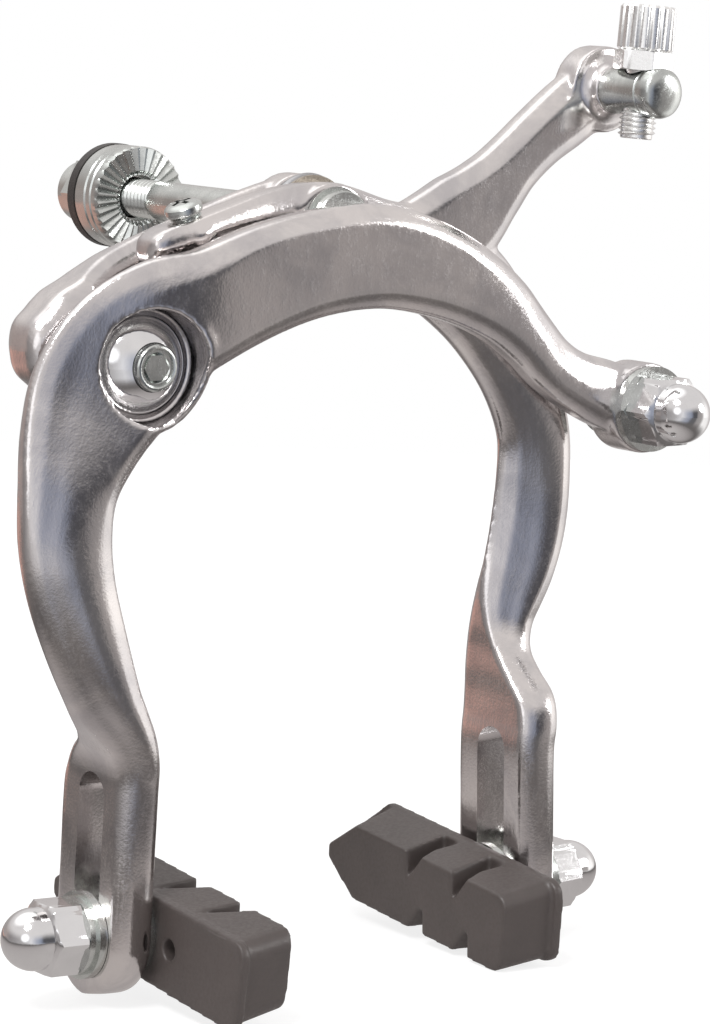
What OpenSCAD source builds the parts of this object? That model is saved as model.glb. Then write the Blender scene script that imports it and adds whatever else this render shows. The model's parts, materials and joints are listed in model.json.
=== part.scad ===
// Dual-pivot caliper brake, long reach, polished arms and zinc-plated hardware.
// Origin: on the mounting bolt's axis, where the bridge's rear face meets the bicycle's frame.
// +X to the viewer's right, +Y towards the frame that carries the brake, +Z up.
// The modules measure Y from the plane of the pads' bolts, and in_frame() moves them to the origin.

/* [Mounting bolt] */
// Diameter of the mounting bolt
bolt_d = 6; // [5.5:0.1:7]
// Distance from the pad plane to the bolt's threaded end
bolt_end = 69.5; // [69.2:0.1:72]
// Diameter of the bolt's plain journal in the rear arm
journal_d = 7; // [6.6:0.1:7.4]
// Diameter of the bolt's thin round head
head_d = 9.4; // [9:0.1:10.4]
// Diameter of the serrated and plain spacer washers
washer_d = 16; // [14:0.5:18]
// Number of radial serrations on the serrated washer
serrations = 32; // [24:1:40]
// Distance from the pad plane to the serrated face
serrated_y = 51; // [46:0.5:52]

/* [Arms] */
// Thickness of the front arm's plate
front_t = 6; // [5.5:0.1:6.4]
// Thickness of the rear arm's plate
rear_t = 5.4; // [5:0.1:5.6]
// Distance of the front arm's face in front of the pad plane
front_y = 9; // [8.8:0.1:9.4]
// Width of the bevel along the arms' front edges
bevel = 2.6; // [1.5:0.1:3]
// Depth of that bevel
bevel_depth = 1.5; // [0.8:0.1:2]
// Distance from the centre plane to each leg's inner face, at its slot's top
leg_in = 32.5; // [31.5:0.1:33.5]
// Thickness of the legs
leg_t = 6.7; // [5.8:0.1:7]
// Width of the legs along the wheel
leg_w = 17; // [15:0.2:18]
// Outward lean of the legs, in degrees
leg_lean = 2; // [0:0.1:3]
// Shortest reach, from the mounting bolt down to a pad bolt
reach_min = 80.4; // [80:0.1:84]
// Longest reach
reach_max = 102; // [101.8:0.1:104]
// Reach at which the left pad is set
left_reach = 100.7; // [90:0.1:101.8]
// Reach at which the right pad is set
right_reach = 101.8; // [90:0.1:101.8]
// Distance from the mounting bolt down to the legs' ends
leg_len = 109.4; // [108.4:0.1:112]
// Width of the slots for the pad bolts
slot_w = 6.6; // [6.4:0.1:7]

/* [Pivots] */
// Side pivot's distance from the centre plane
pivot_x = 34.7; // [34:0.1:35.5]
// Side pivot's distance below the mounting bolt
pivot_z = 19.1; // [18.5:0.1:20]
// Diameter of the pocket around the side pivot's head
pocket_d = 16.2; // [15.8:0.1:17]
// Diameter of the side pivot's domed head
dome_d = 15; // [13:0.1:15.4]
// Diameter of the side pivot's journal
side_journal_d = 8; // [7:0.1:9]

/* [Cable] */
// Cable anchor's distance from the centre plane
anchor_x = 53.6; // [53:0.1:54.5]
// Cable anchor's distance below the mounting bolt
anchor_z = 28.4; // [28:0.1:29]
// Diameter of the anchor's boss
anchor_d = 13.8; // [13.4:0.1:15]
// Adjuster eye's distance from the centre plane
eye_x = 50.4; // [50:0.1:51]
// Adjuster eye's height above the mounting bolt
eye_z = 19.3; // [19:0.1:20]
// Diameter of the adjuster eye
eye_d = 13; // [12.5:0.1:14]
// Diameter of the adjuster's thread
adjuster_d = 5.6; // [5:0.1:6]
// Diameter of the hole for the cable
cable_hole_d = 2.2; // [1.8:0.1:2.6]
// Lean of the adjuster, in degrees
adjuster_lean = 4.5; // [0:0.5:8]

/* [Pads] */
// Length of a pad
pad_len = 50; // [46:0.5:52]
// Height of a pad
pad_h = 12.8; // [12:0.2:14]
// Depth of a pad's rubber block from its flange
pad_block = 8.2; // [7:0.1:9]
// Thickness of a pad's flange
pad_flange = 1.5; // [1:0.1:2]
// Nose-down tilt of the pads, in degrees
pad_tilt = 5.3; // [0:0.1:8]
// How far the friction face is lifted or lowered against the flange
pad_rise = 1.2; // [0:0.1:2]
// How far the left pad's middle lies in front of its bolt
left_pad_shift = 2.7; // [2:0.1:6]
// How far the right pad's middle lies behind its bolt
right_pad_shift = 5.7; // [2:0.1:6]
// Diameter of the pad bolts' threads
stud_d = 6; // [5.6:0.1:6.2]

/* [Nuts and washers] */
// Width across flats of the acorn nuts
acorn_af = 10; // [9.5:0.1:10.5]
// Height of the acorn nuts' hexagon
acorn_hex = 5.1; // [4.5:0.1:6]
// Height of the acorn nuts' dome
acorn_dome = 5.6; // [5:0.1:6.5]
// Diameter of the washers under the acorn nuts
nut_washer_d = 12.6; // [11.6:0.1:13.4]

/* [Hidden] */
$fn = 64;

// Clearances: turning fits, sliding faces, and air between the layers of the brake
fit = 0.05;
face_gap = 0.06;
layer_gap = 0.3;

// Places along Y of the layers, from front to back
arm_f0 = -front_y;
arm_f1 = arm_f0 + front_t;
head_t = 2;
washer_t = 0.3;
head_y = arm_f1 + layer_gap;
pivot_washer_y = head_y + head_t;
arm_r0 = pivot_washer_y + washer_t + face_gap;
arm_r1 = arm_r0 + rear_t;
thrust_t = 0.5;
hub_y = arm_r1 + face_gap + thrust_t;
wire_d = 1.6;
bridge_f = hub_y + wire_d + 1;
bridge_t = 4.3;
bridge_b = bridge_f + bridge_t;
side_boss_y = 3.2;
side_face_y = side_boss_y + face_gap + thrust_t;

pivot = [-pivot_x, -pivot_z];
anchor = [anchor_x, -anchor_z];
eye = [eye_x, eye_z];

// Leg's middle line: x at a depth z below the bolt
function leg_x(z) = leg_in + leg_t / 2 + (-reach_min - z) * tan(leg_lean);

// Smooth value between rows b and c of a station list, at the fraction t
function blend4(a, b, c, d, t) =
  0.5 * (2 * b + (c - a) * t + (2 * a - 5 * b + 4 * c - d) * t * t + (3 * b - a - 3 * c + d) * t * t * t);
function at_row(rows, i) = rows[max(0, min(len(rows) - 1, i))];
function smooth_rows(rows, n) = [
  for (i = [0 : len(rows) - 2], k = [0 : n - 1])
    blend4(at_row(rows, i - 1), rows[i], rows[i + 1], at_row(rows, i + 2), k / n),
  rows[len(rows) - 1]
];
function heading(path, i) =
  let (a = at_row(path, i - 1), b = at_row(path, i + 1), v = [b[0] - a[0], b[1] - a[1]]) v / norm(v);

// Section of a forged arm, as [across, y]: a slightly crowned front that falls back by fall towards the
// outer side,
// bevels, the outer one bo wide and co deep, and small round corners behind
crown = 0.25;
function arm_section(w, y0, y1, bo, co, fall) =
  let (
    h = w / 2,
    f = y0 + crown,
    b = min(bevel, 0.3 * w),
    c = min(bevel_depth, 0.16 * w),
    r = min(1.3, 0.25 * w, 0.2 * (y1 - y0)),
    span = w - b - bo
  ) [
    [-h + b, f], [-h + b + 0.3 * span, y0 + 0.3 * fall], [-h + b + 0.7 * span, y0 + 0.7 * fall],
    [h - bo, f + fall], [h - bo * 0.5, f + fall + co * 0.38], [h - bo * 0.1, f + fall + co],
    [h, f + fall + co * 1.35],
    [h, y1 - r], [h - 0.3 * r, y1 - 0.3 * r], [h - r, y1],
    [-h + r, y1], [-h + 0.3 * r, y1 - 0.3 * r], [-h, y1 - r],
    [-h, f + c * 1.4], [-h + b * 0.1, f + c], [-h + b * 0.5, f + c * 0.45]
  ];

// Plain outer side of an arm w wide: the bevel's width and depth, and no fall
function plain_side(w) = [min(bevel, 0.3 * w), min(bevel_depth, 0.16 * w), 0];

// Solid swept along stations [x, z, width, y front, y back, outer bevel's width, its depth, fall of the
// front]
module arm_sweep(rows, n) {
  path = smooth_rows([for (r = rows) len(r) > 5 ? r : concat(r, plain_side(r[2]))], n);
  rings = [
    for (i = [0 : len(path) - 1])
      let (p = path[i], t = heading(path, i), s = arm_section(p[2], p[3], p[4], p[5], p[6], p[7]))
        [for (q = s) [p[0] - t[1] * q[0], q[1], p[1] + t[0] * q[0]]]
  ];
  k = len(rings[0]);
  points = [for (r = rings, q = r) q];
  sides = [
    for (i = [0 : len(rings) - 2], j = [0 : k - 1])
      let (j2 = (j + 1) % k, a = i * k + j, b = i * k + j2, c = a + k, d = b + k)
        each [[a, b, d], [a, d, c]]
  ];
  first = [[for (j = [k - 1 : -1 : 0]) j]];
  last = [[for (j = [0 : k - 1]) (len(rings) - 1) * k + j]];
  polyhedron(points, concat(first, sides, last));
}

// Moves what is measured from the plane of the pads' bolts to the origin
module in_frame() {
  translate([0, -bridge_b, 0]) children();
}

// Cylinder along Y from y0 to y1 at a place [x, z]
module y_cyl(at, d, y0, y1) {
  translate([at[0], y1, at[1]]) rotate([90, 0, 0]) cylinder(d = d, h = y1 - y0);
}

// Ring along Y
module y_ring(at, d, hole, y0, y1) {
  difference() {
    y_cyl(at, d, y0, y1);
    y_cyl(at, hole, y0 - 1, y1 + 1);
  }
}

// Stations of a leg, from its end up to its slot's top; side is -1 for the left leg
function leg_rows(side) = concat(
  [for (a = [84, 66, 48, 30, 12, 0])
    let (z = -leg_len + (1 - sin(a)) * leg_w / 2)
      [side * leg_x(z), z, leg_t, -cos(a) * leg_w / 2, cos(a) * leg_w / 2]],
  [for (z = [-(reach_max + reach_min) / 2, -reach_min])
    [side * leg_x(z), z, leg_t, -leg_w / 2, leg_w / 2]]
);

// Slot through a leg for the pad bolt, square to its faces
module leg_slot(side) {
  for (z = [-reach_max, -reach_min])
    translate([side * leg_x(z), 0, z])
      rotate([0, 90 + side * leg_lean * -1, 0])
        cylinder(d = slot_w, h = leg_t + 4, center = true);
  z_mid = -(reach_max + reach_min) / 2;
  translate([side * leg_x(z_mid), 0, z_mid])
    rotate([0, -side * leg_lean, 0])
      cube([leg_t + 4, slot_w, (reach_max - reach_min) / cos(leg_lean)], center = true);
}

// Front arm: left leg, side pivot pocket, arch and cable anchor boss, with a ledge behind for the link
// screw
module front_arm() {
  f = arm_f0;
  b = arm_f1;
  rows = concat(leg_rows(-1), [
    [-35.9, -76.0, 6.9, -8.7, 7.2],
    [-36.7, -72.5, 7.4, -8.9, 4.6],
    [-38.5, -69.2, 8.4, f, 0.6],
    [-41.0, -65.0, 10.0, f, b + 1.0],
    [-44.0, -58.0, 11.6, f, b + 0.1],
    [-46.7, -50.0, 12.6, f, b],
    [-47.9, -43.0, 13.4, f, b],
    [-47.6, -36.5, 14.2, f, b + 0.4, 4.0, 1.8, 0.7],
    [-45.9, -30.4, 16.8, f, b + 1.4, 4.8, 1.8, 2.3],
    [-42.6, -23.6, 20.0, f, b + 2.0, 5.0, 1.6, 3.6],
    [-38.0, -17.8, 21.0, f, b + 1.0, 5.0, 1.6, 3.1],
    [-32.3, -13.6, 19.4, f, b, 4.4, 1.7, 1.4],
    [-25.2, -11.0, 16.6, f, b, 3.4, 1.6, 0.2],
    [-16.2, -7.6, 15.9, f, b],
    [-7.2, -5.4, 15.3, f, b],
    [2.3, -4.5, 15.1, f, b],
    [10.4, -5.6, 14.3, f, b],
    [18.6, -8.3, 12.8, f, b],
    [26.2, -12.3, 10.9, f, b],
    [31.9, -17.0, 9.1, f, b],
    [36.2, -21.0, 8.6, f, b],
    [40.8, -23.8, 8.9, f, b],
    [46.6, -26.0, 10.2, f, b],
    [anchor_x - 1, -anchor_z + 0.4, anchor_d - 3.4, f + 0.6, b - 0.4]
  ]);
  color([0.72, 0.70, 0.69]) in_frame() difference() {
    union() {
      arm_sweep(rows, 3);
      y_cyl(pivot, side_boss_d, arm_f1 - 1, side_boss_y);
      pocket_rim();
      y_cyl(anchor, anchor_d, arm_f0 + 0.2, arm_f1 + 0.4);
      y_cyl(anchor, anchor_d - 1.4, arm_f1, arm_f1 + 1.4);
      ledge();
    }
    y_cyl(anchor, nut_washer_d + 1.4, arm_f0 - 2, arm_f0 + 0.2);
    clamp_groove();
    y_cyl(pivot, pocket_d, arm_f0 - 2, pocket_y);
    y_cyl(pivot, side_bush_d, pocket_y - 1, side_boss_y + 1);
    y_cyl(anchor, stud_d + 0.4, arm_f0 - 2, arm_f1 + 4);
    leg_slot(-1);
  }
}
pocket_y = arm_f1 - 0.4;

// Wall round the side pivot's pocket; its rim falls back towards the arm's outer side, and more steeply
// where the arm's inner edge cuts it
rim_wall = 1;
rim_fall = 14;
rim_cut = 28;
module pocket_rim() {
  d = pocket_d + 2 * rim_wall;
  difference() {
    y_cyl(pivot, d, arm_f0 - 1, arm_f1);
    translate([pivot[0] + pocket_d / 2, arm_f0 - 0.1, pivot[1]]) rotate([0, 0, -rim_fall])
      translate([-2 * d, -d, -d]) cube([3 * d, d, 2 * d]);
    translate([pivot[0], arm_f0 - 0.1, pivot[1]]) rotate([0, 48, 0]) translate([0.2 * pocket_d, 0, 0])
      rotate([0, 0, rim_cut]) translate([-2 * d, -d, -d]) cube([4 * d, d, 2 * d]);
  }
}
side_boss_d = 19;
side_bush_d = side_journal_d + 2;

// Link screw: its tip's place on the ledge at rest, [x, z], and its lean from upright
tip = [-21.6, -6.4];
link_y = 2;
link_lean = 20;
link_d = 4.2;
tip_r = link_d / 2;
tip_gap = 0.12;
module at_tip() {
  translate([tip[0], link_y, tip[1]]) rotate([0, -link_lean, 0]) children();
}

// Ledge of the front arm, under the link screw's round tip, longer on both sides than the tip's way
// along it
ledge_t = 4.4;
ledge_lean = 12.4;
module ledge() {
  left = 7.2;
  right = 4;
  d = arm_r1 - arm_f1 - 0.6;
  top = -tip_r - tip_gap;
  at_tip() translate([0, 0, -top]) rotate([0, link_lean - ledge_lean, 0])
    translate([-left, arm_f1 - 1.5 - link_y, top - ledge_t]) cube([left + right, d + 1.5, ledge_t]);
}

// Rear arm: link lug, hub on the mounting bolt, shoulder and right leg, with a branch up to the
// adjuster's eye
module rear_arm() {
  f = arm_r0;
  b = arm_r1;
  leg = concat(leg_rows(1), [
    [36.2, -76.0, 6.9, -8.4, 8.5],
    [36.3, -72.3, 6.9, -7.4, 8.5],
    [36.1, -69.0, 6.7, -4.4, 8.4],
    [36.2, -65.6, 7.0, -1.4, 8.1],
    [36.6, -62.0, 8.4, f, 7.2],
    [37.5, -58.0, 10.4, f, b + 0.9],
    [39.1, -53.0, 12.0, f, b],
    [40.5, -47.0, 12.6, f, b],
    [41.1, -40.0, 12.4, f, b],
    [40.7, -32.5, 12.0, f, b],
    [37.8, -25.2, 12.0, f, b],
    [33.4, -17.8, 13.6, f, b],
    [27.2, -10.8, 15.2, f, b],
    [19.0, -6.0, 14.6, f, b],
    [9.5, -3.6, 13.6, f, b],
    [0.0, -0.8, 13.0, f, b],
    [-8.6, -0.1, 10.0, f, b],
    [-16.6, -0.8, 7.2, f, b],
    [-24.4, -2.6, 5.4, f, b],
    [-29.6, -3.4, 4.8, f + 0.1, b - 0.1],
    [-32.6, -3.9, 3.6, f + 0.5, b - 0.5]
  ]);
  branch = [
    [13.5, -5.0, 13.0, f + 0.3, b - 0.3],
    [19.5, -3.0, 14.2, f + 0.1, b - 0.1],
    [25.6, 0.0, 14.6, f, b],
    [30.9, 4.4, 11.4, f, b],
    [34.8, 8.1, 9.6, f, b],
    [39.4, 11.9, 9.5, f, b],
    [44.2, 15.2, 10.2, f, b],
    [eye_x - 1.2, eye_z - 0.8, eye_d - 2.6, f + 0.2, b - 0.2]
  ];
  color([0.70, 0.68, 0.67]) in_frame() difference() {
    union() {
      arm_sweep(leg, 3);
      arm_sweep(branch, 3);
      y_cyl([0, -hub_drop], hub_d, arm_r0, arm_r1);
      y_cyl(eye, eye_d, arm_r0 + 0.4, arm_r1);
      eye_boss();
      lug();
    }
    y_cyl([0, 0], journal_d + 2, arm_r0 - 2, arm_r1 + 2);
    y_cyl(eye, trunnion_d + 2 * fit, arm_r0 - 4, arm_r1 + 2);
    at_tip() translate([0, 0, -2]) cylinder(d = link_d + 2 * fit, h = 20);
    at_tip() translate([0, 0, link_seat - 0.05]) cylinder(d = link_head_d + 0.8, h = 6);
    leg_slot(1);
  }
}
hub_d = 14;
hub_drop = 1.3;
trunnion_d = 5.8;

// Raised round boss that the trunnion turns on
module eye_boss() {
  translate([eye[0], arm_r0 + 1, eye[1]]) rotate([90, 0, 0])
    cylinder(d1 = eye_d - 2.4, d2 = trunnion_d + 1.4, h = 1 + eye_boss_h);
}
eye_boss_h = 1.6;

// Round thickening of the link lug
module lug() {
  at_tip() translate([0, 0, 1.2]) cylinder(d = link_d + 3.6, h = 4.6);
}

// Bridge plate behind the arms, between the two pivots
module bridge() {
  f = bridge_f;
  b = bridge_b;
  rows = [
    [-46.0, -18.4, 5.6, side_face_y + 0.6, b - 0.6],
    [-43.6, -17.9, 10.4, side_face_y + 0.1, b],
    [-39.5, -17.2, 15.4, side_face_y, b],
    [-34.5, -15.4, 17.6, side_face_y + 0.3, b],
    [-29.2, -12.2, 17.0, f - 1.6, b],
    [-23.0, -8.6, 14.6, f, b],
    [-15.0, -4.6, 12.4, f, b],
    [-7.0, -1.8, 12.2, f, b],
    [0.0, -0.4, 12.6, f, b],
    [5.6, 0.4, 8.4, f + 0.3, b - 0.3]
  ];
  color([0.71, 0.69, 0.68]) in_frame() difference() {
    union() {
      arm_sweep(rows, 3);
      y_cyl([0, 0], hub_d - 1, bridge_f, bridge_b);
      y_cyl([0, 0], journal_d + 3, hub_y, bridge_b);
      y_cyl(pivot, side_boss_d - 1, side_face_y, bridge_b);
    }
    y_cyl([0, 0], bolt_d + 0.2, hub_y - 2, bridge_b + 2);
    y_cyl(pivot, side_journal_d - 2, side_face_y - 2, bridge_b + 2);
  }
}

// Mounting bolt: thin head, journal for the rear arm, and a long threaded shank
module mounting_bolt() {
  color([0.62, 0.62, 0.60]) in_frame() difference() {
    union() {
      y_cyl([0, 0], head_d, head_y, pivot_washer_y);
      y_cyl([0, 0], journal_d, head_y + 0.5, hub_y);
      y_cyl([0, 0], bolt_d, hub_y - 1, bolt_end);
    }
    translate([-head_d, head_y - 1, -0.6]) cube([2 * head_d, 1.8, 1.2]);
  }
}

// Hexagon along Y with a round hole
module y_hex(at, af, hole, y0, y1) {
  difference() {
    translate([at[0], y1, at[1]]) rotate([90, 0, 0]) cylinder(d = af / cos(30), h = y1 - y0, $fn = 6);
    y_cyl(at, hole, y0 - 1, y1 + 1);
  }
}

module pivot_washer() {
  color([0.75, 0.74, 0.7]) in_frame()
    y_ring([0, 0], head_d + 1, journal_d + 2 * fit, pivot_washer_y, pivot_washer_y + washer_t);
}

module centre_thrust_washer() {
  color([0.75, 0.74, 0.7]) in_frame() y_ring([0, 0], hub_d - 1, journal_d + 2 * fit, hub_y - thrust_t, hub_y);
}

// Return spring: one turn of wire around the hub, an arm hooked on the bridge and an arm on the rear arm
module return_spring() {
  r = (journal_d + 3) / 2 + wire_d / 2 + 0.15;
  y = hub_y + 0.2 + wire_d / 2;
  color([0.45, 0.45, 0.46]) in_frame() translate([0, y, 0]) rotate([90, 0, 0]) {
    rotate([0, 0, -70]) rotate_extrude(angle = 320) translate([r, 0]) circle(d = wire_d, $fn = 24);
    rotate([0, 0, -70]) translate([r, 0, 0]) rotate([90, 0, 0]) cylinder(d = wire_d, h = 11, $fn = 24);
    rotate([0, 0, 250]) translate([r, 0, 0]) rotate([-90, 0, 0]) cylinder(d = wire_d, h = 12, $fn = 24);
  }
}

// Serrated washer: radial teeth on its front face bite into the frame
module serrated_washer() {
  tooth = 0.55;
  color([0.66, 0.68, 0.66]) in_frame() difference() {
    y_cyl([0, 0], washer_d, serrated_y, serrated_y + serrated_t);
    y_cyl([0, 0], bolt_d + 1, serrated_y - 1, serrated_y + serrated_t + 1);
    for (i = [0 : serrations - 1])
      translate([0, serrated_y, 0]) rotate([0, i * 360 / serrations, 0])
        translate([bolt_d / 2 - 1, 0, 0]) rotate([45, 0, 0])
          translate([0, -tooth, -tooth]) cube([washer_d, 2 * tooth, 2 * tooth]);
  }
}
serrated_t = 2.2;
spacer_t = 4.6;
rubber_t = 1.8;

module spacer_washer() {
  y0 = serrated_y + serrated_t;
  color([0.60, 0.61, 0.60]) in_frame() y_ring([0, 0], washer_d, bolt_d + 0.4, y0, y0 + spacer_t);
}

module rubber_washer() {
  y0 = serrated_y + serrated_t + spacer_t;
  color([0.16, 0.14, 0.13]) in_frame() y_ring([0, 0], washer_d + 0.2, bolt_d + 0.4, y0, y0 + rubber_t);
}

// Mounting nut: thin flange, hexagon, and a round collar for the locking ring
module mounting_nut() {
  y0 = serrated_y + serrated_t + spacer_t + rubber_t;
  color([0.72, 0.70, 0.69]) in_frame() difference() {
    union() {
      y_cyl([0, 0], 12.4, y0, y0 + 0.9);
      y_hex([0, 0], 10, bolt_d + 0.1, y0, y0 + 5.8);
      y_cyl([0, 0], 9.6, y0 + 5, y0 + 8.2);
    }
    y_cyl([0, 0], bolt_d + 0.1, y0 - 1, y0 + 10);
  }
}

// Side pivot bolt: domed head in the front arm's pocket, journal, and shank fast in the bridge
module side_pivot_bolt() {
  rise = 2.2;
  rim = 0.8;
  sphere_r = (pow(dome_d / 2, 2) + rise * rise) / (2 * rise);
  y0 = pocket_y - face_gap;
  color([0.74, 0.74, 0.73]) in_frame() difference() {
    union() {
      translate([pivot[0], y0, pivot[1]]) rotate([90, 0, 0]) intersection() {
        cylinder(d = dome_d, h = 10);
        translate([0, 0, rim + rise - sphere_r]) sphere(r = sphere_r, $fn = 96);
      }
      y_cyl(pivot, side_journal_d, y0 - 0.2, side_face_y);
      y_cyl(pivot, side_journal_d - 2, side_face_y - 1, bridge_b);
    }
    y_cyl(pivot, screw_d, pocket_y - 8, y0 - rim);
    y_cyl(pivot, 4.2, pocket_y - 8, y0 + 7);
  }
}
screw_d = 8.6;

// Lock screw in the middle of the side pivot's head, with a hexagon socket
module side_pivot_screw() {
  y0 = pocket_y - face_gap - 0.8;
  h = 2.6;
  color([0.70, 0.72, 0.71]) in_frame() difference() {
    union() {
      y_cyl(pivot, screw_d - 0.2, y0 - h, y0);
      y_cyl(pivot, 4, y0 - 1, y0 + 7);
    }
    translate([pivot[0], y0 - 0.7, pivot[1]]) rotate([90, 0, 0]) cylinder(d = 4 / cos(30), h = h, $fn = 6);
  }
}

module side_thrust_washer() {
  color([0.75, 0.74, 0.7]) in_frame()
    y_ring(pivot, side_boss_d - 2, side_journal_d + 2 * fit, side_face_y - thrust_t, side_face_y);
}

module side_bush() {
  color([0.72, 0.6, 0.36]) in_frame()
    y_ring(pivot, side_bush_d, side_journal_d + 2 * fit, pocket_y, side_boss_y);
}

module centre_bush() {
  color([0.72, 0.6, 0.36]) in_frame() y_ring([0, 0], journal_d + 2, journal_d + 2 * fit, arm_r0, arm_r1);
}

// Cable anchor: bolt through the front arm's boss, grooved washer and acorn nut
clamp_t = 1.3;
module anchor_bolt() {
  color([0.68, 0.70, 0.69]) in_frame() difference() {
    union() {
      y_cyl(anchor, 10, arm_f1 + 1.4, arm_f1 + 4.2);
      y_cyl(anchor, stud_d, arm_f0 + 0.2 - clamp_t - acorn_hex, arm_f1 + 2);
    }
    translate([anchor[0], arm_f1 + 5, anchor[1]]) rotate([90, 0, 0])
      cylinder(d = 5 / cos(30), h = 2.6, $fn = 6);
  }
}

module anchor_washer() {
  y1 = arm_f0 + 0.2;
  color([0.62, 0.60, 0.57]) in_frame() difference() {
    y_ring(anchor, nut_washer_d + 0.4, stud_d + 0.3, y1 - clamp_t, y1);
    clamp_groove();
  }
}

// Upright groove for the cable between the anchor's washer and the arm
groove_d = 1.5;
module clamp_groove() {
  translate([anchor[0] + (stud_d + groove_d) / 2 + 0.15, arm_f0 + 0.2, anchor[1]])
    cylinder(d = groove_d, h = 30, center = true);
}

// Acorn nut along +Z from its seat, with a blind hole
module acorn_nut() {
  dome_r = acorn_af * 0.47;
  difference() {
    union() {
      intersection() {
        cylinder(d = acorn_af / cos(30), h = acorn_hex, $fn = 6);
        translate([0, 0, -0.9]) cylinder(d1 = acorn_af / cos(30) + 5, d2 = acorn_af, h = acorn_hex + 0.9);
      }
      rotate_extrude() dome_outline(dome_r, acorn_hex - 0.3, acorn_dome + 0.3);
    }
    translate([0, 0, -1]) cylinder(d = stud_d + 2 * fit, h = acorn_hex + 2);
  }
}

// Half outline of a nut's dome: a short cylinder and an elliptic cap
module dome_outline(r, z0, h) {
  neck = h * 0.28;
  polygon(concat(
    [[0, z0], [r, z0]],
    [for (a = [0 : 9 : 90]) [r * cos(a), z0 + neck + (h - neck) * sin(a)]]
  ));
}

module anchor_nut() {
  color([0.76, 0.77, 0.76]) in_frame()
    translate([anchor[0], arm_f0 + 0.2 - clamp_t, anchor[1]]) rotate([90, 10, 0]) acorn_nut();
}

// Link screw: wide cross-slotted head, threaded shank through the lug, and a round tip
link_seat = 6.65;
link_head_d = 5.4;
module link_screw() {
  color([0.70, 0.72, 0.71]) in_frame() at_tip() difference() {
    union() {
      translate([0, 0, tip_gap + tip_r]) sphere(r = tip_r);
      translate([0, 0, tip_gap + tip_r]) cylinder(d = link_d, h = 6);
      translate([0, 0, link_seat]) cylinder(d = link_head_d - 0.7, h = 0.7);
      translate([0, 0, link_seat + 1.3]) cylinder(d1 = link_d + 0.2, d2 = link_head_d, h = 0.6);
      translate([0, 0, link_seat + 1.9]) cylinder(d = link_head_d, h = 1.4);
    }
    for (a = [45, 135])
      rotate([0, 0, a]) translate([-1.5, -0.35, link_seat + 2.3]) cube([3, 0.7, 2]);
  }
}

// Frame of the adjuster: origin in the trunnion's cross hole, +Z up along the lean
adjuster_y = arm_r0 - eye_boss_h - trunnion_d;
module at_adjuster() {
  translate([eye[0], adjuster_y, eye[1]]) rotate([0, adjuster_lean, 0]) children();
}

// Trunnion: cross pin that turns in the eye, with a rounded head and a cross hole for the adjuster
module trunnion() {
  r = trunnion_d / 2;
  hr = r + 0.2;
  front = -(arm_r0 - adjuster_y) + 0.6;
  y0 = adjuster_y - 6.2;
  color([0.70, 0.69, 0.68]) in_frame() difference() {
    union() {
      translate([eye[0], 0, eye[1]]) rotate([90, 0, 0]) rotate_extrude() polygon(concat(
        [[0, -arm_r1 - 0.8], [r - 0.6, -arm_r1 - 0.8], [r, -arm_r1 - 0.2], [r, -arm_r0 + eye_boss_h + 0.1]],
        [[r + 0.25, -arm_r0 + eye_boss_h + 0.35], [r + 0.25, -adjuster_y + 1.6], [hr, -adjuster_y + 2.2]],
        [for (a = [0 : 15 : 90]) [hr - 1.6 + 1.6 * cos(a), -y0 - 1.6 + 1.6 * sin(a)]],
        [[0, -y0]]
      ));
      at_adjuster() translate([0, 0, 0]) cylinder(d = 8.4, h = seat_h);
    }
    at_adjuster() cylinder(d = adjuster_d + 2 * fit, h = 30, center = true);
  }
}
seat_h = 3.1;

// Adjusting barrel: fluted head, threaded stem, and a stepped bore for the cable and its housing
module adjuster_barrel() {
  head_r = 4.2;
  z0 = seat_h + face_gap + lock_h;
  h = 6.8;
  flutes = 16;
  color([0.80, 0.80, 0.79]) in_frame() at_adjuster() difference() {
    union() {
      translate([0, 0, z0]) cylinder(r = head_r, h = h);
      translate([0, 0, -7]) cylinder(d = adjuster_d, h = z0 + 8);
    }
    for (i = [0 : flutes - 1])
      rotate([0, 0, i * 360 / flutes]) translate([head_r + 0.22, 0, z0 - 1])
        cylinder(r = 0.62, h = h + 2, $fn = 16);
    translate([0, 0, -8]) cylinder(d = cable_hole_d, h = 30);
    translate([0, 0, z0 + h - 5]) cylinder(d = 5.1, h = 6);
  }
}
lock_h = 2.9;

module adjuster_lock_nut() {
  color([0.82, 0.82, 0.81]) in_frame() at_adjuster() translate([0, 0, seat_h + face_gap]) difference() {
    rotate([0, 0, 8]) cylinder(d = 8 / cos(30), h = lock_h, $fn = 6);
    translate([0, 0, -1]) cylinder(d = adjuster_d + 2 * fit, h = lock_h + 2);
  }
}

// Frame of a pad bolt: origin on the leg's inner face, +X away from the leg, towards the rim
module at_pad(side) {
  reach = side < 0 ? left_reach : right_reach;
  x_in = leg_x(-reach) - leg_t / 2 / cos(leg_lean);
  translate([side * x_in, 0, -reach])
    rotate([0, -side * leg_lean, 0])
      mirror([side > 0 ? 1 : 0, 0, 0]) children();
}
seat_t = 1.2;
seat_d = 13;
outer_washers_t = 2.4;

// Stud with its round seat, from the pad out through the slot
module pad_stud() {
  reach = leg_t + outer_washers_t + acorn_hex + 2 * face_gap;
  translate([face_gap, 0, 0]) rotate([0, 90, 0]) cylinder(d = seat_d, h = seat_t);
  translate([-reach, 0, 0]) rotate([0, 90, 0]) cylinder(d = stud_d, h = reach + 3);
}

// Plain washer and lock washer outside the leg
module leg_washers() {
  for (x = [0, outer_washers_t / 2])
    translate([-leg_t - face_gap - x, 0, 0]) rotate([0, -90, 0]) difference() {
      cylinder(d = nut_washer_d - (x > 0 ? 1.2 : 0), h = outer_washers_t / 2);
      translate([0, 0, -1]) cylinder(d = stud_d + 0.3, h = outer_washers_t + 2);
    }
}

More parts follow.
